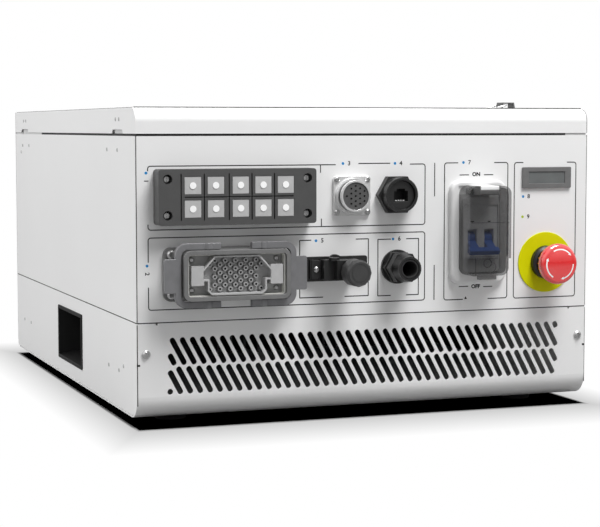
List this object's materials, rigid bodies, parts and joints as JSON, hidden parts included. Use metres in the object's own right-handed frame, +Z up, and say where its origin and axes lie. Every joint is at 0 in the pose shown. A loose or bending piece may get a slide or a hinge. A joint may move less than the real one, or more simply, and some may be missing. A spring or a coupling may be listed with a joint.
{
  "type": "robot controller cabinet",
  "caption": "Flat sheet-metal robot controller cabinet with a port panel, covered breaker, emergency stop, slanted air slots, recessed side handles and lashing rings.",
  "frame": {"origin": "on the floor, under the middle of the whole outline", "axes": "+X to the right along the port panel, +Y from the port panel to the back, +Z up"},
  "size_m": [0.4684, 0.6336, 0.3042],
  "materials": {
    "case_paint": "satin",
    "plated_steel": "satin",
    "strap_steel": "satin",
    "rubber": "matte",
    "black_plastic": "satin",
    "entry_plate": "satin",
    "grommet": "matte",
    "housing_grey": "satin",
    "lever_dark": "satin",
    "seal_grey": "matte",
    "insert_grey": "matte",
    "chrome_shell": "polished",
    "pendant_dark": "matte",
    "breaker_white": "gloss",
    "smoked": "clear",
    "toggle_blue": "gloss",
    "display_glass": "gloss",
    "stop_yellow": "satin",
    "stop_red": "satin",
    "drive_grey": "satin",
    "aluminium": "satin",
    "board_green": "satin",
    "brass": "satin"
  },
  "bodies": {
    "cabinet": {"base_floor": "case_paint", "base_side_left": "case_paint", "base_side_right": "case_paint", "base_front_grille": "case_paint", "mid_shelf": "case_paint", "side_panel_left": "case_paint", "side_panel_right": "case_paint", "front_panel": "case_paint", "rear_panel": "case_paint", "lid": "case_paint", "lid_brackets": "plated_steel", "panel_screws_m4": "plated_steel", "panel_screws_m3": "plated_steel", "side_rivets": "plated_steel", "panel_locknuts": "plated_steel", "lid_ring_straps": "strap_steel", "lid_gasket": "rubber", "rubber_feet": "rubber", "handle_cup_left": "black_plastic", "handle_cup_right": "black_plastic", "data_nut": "black_plastic", "data_jack": "black_plastic", "signal_flange": "black_plastic", "signal_body": "black_plastic", "gland_body": "black_plastic", "display_bezel": "black_plastic", "estop_collar": "black_plastic", "estop_contact_block": "black_plastic", "fan_frames": "black_plastic", "cable_plate": "entry_plate", "cable_grommets": "grommet", "axis_housing": "housing_grey", "axis_seal": "seal_grey", "gland_seal": "seal_grey", "axis_insert": "insert_grey", "axis_contacts": "insert_grey", "pendant_shell": "chrome_shell", "pendant_insert": "pendant_dark", "breaker_surround": "breaker_white", "breaker_body": "breaker_white", "display_window": "display_glass", "estop_disc": "stop_yellow", "servo_drive": "drive_grey", "heat_sink": "aluminium", "power_supply": "aluminium", "line_filter": "aluminium", "control_board": "board_green", "board_standoffs": "brass"},
    "cover": {"breaker_cover": "smoked"},
    "toggle": {"breaker_toggle": "toggle_blue"},
    "lever_left": {"axis_lever_left": "lever_dark"},
    "lever_right": {"axis_lever_right": "lever_dark"},
    "stop_stem": {"estop_stem": "black_plastic"},
    "stop_head": {"estop_head": "stop_red"},
    "fan_left": {"fan_rotor_left": "black_plastic"},
    "fan_right": {"fan_rotor_right": "black_plastic"},
    "gland_dome": {"gland_nut": "black_plastic"},
    "signal_screw_cap": {"signal_cap": "black_plastic"},
    "ring_front": {"lid_ring_front": "plated_steel"},
    "ring_rear": {"lid_ring_rear": "plated_steel"}
  },
  "joints": [
    {"name": "cover_swing", "type": "hinge", "parent": "cabinet", "child": "cover", "pos_m": [0.111, -0.2848, 0.218], "axis": [-1, 0, 0], "range_deg": [0, 95]},
    {"name": "toggle_rock", "type": "hinge", "parent": "cabinet", "child": "toggle", "pos_m": [0.111, -0.2728, 0.1701], "axis": [-1, 0, 0], "range_deg": [0, 70]},
    {"name": "lever_left_swing", "type": "hinge", "parent": "cabinet", "child": "lever_left", "pos_m": [-0.1712, -0.2933, 0.1436], "axis": [0, 0, 1], "range_deg": [0, 70]},
    {"name": "lever_right_swing", "type": "hinge", "parent": "cabinet", "child": "lever_right", "pos_m": [-0.1172, -0.2933, 0.1436], "axis": [0, 0, -1], "range_deg": [0, 70]},
    {"name": "stop_push", "type": "slide", "parent": "cabinet", "child": "stop_stem", "axis": [0, 1, 0], "range_m": [0, 0.005]},
    {"name": "stop_twist", "type": "hinge", "parent": "stop_stem", "child": "stop_head", "pos_m": [0.187, -0.2958, 0.1447], "axis": [0, 1, 0], "range_deg": [0, 35], "stiffness_Nm_per_rad": 0.02},
    {"name": "fan_left_spin", "type": "hinge", "parent": "cabinet", "child": "fan_left", "pos_m": [-0.1, 0.3, 0.0584], "axis": [0, 1, 0], "continuous": true},
    {"name": "fan_right_spin", "type": "hinge", "parent": "cabinet", "child": "fan_right", "pos_m": [0.1, 0.3, 0.0584], "axis": [0, 1, 0], "continuous": true},
    {"name": "gland_dome_turn", "type": "hinge", "parent": "cabinet", "child": "gland_dome", "pos_m": [0.026, -0.2898, 0.1446], "axis": [0, 1, 0], "continuous": true},
    {"name": "signal_cap_turn", "type": "hinge", "parent": "cabinet", "child": "signal_screw_cap", "pos_m": [-0.0298, -0.3068, 0.1429], "axis": [0, 1, 0], "continuous": true},
    {"name": "ring_front_flip", "type": "hinge", "parent": "cabinet", "child": "ring_front", "pos_m": [0.1725, -0.2038, 0.3016], "axis": [0, 1, 0], "range_deg": [0, 180]},
    {"name": "ring_rear_flip", "type": "hinge", "parent": "cabinet", "child": "ring_rear", "pos_m": [0.1725, 0.2462, 0.3016], "axis": [0, 1, 0], "range_deg": [0, 180]}
  ]
}
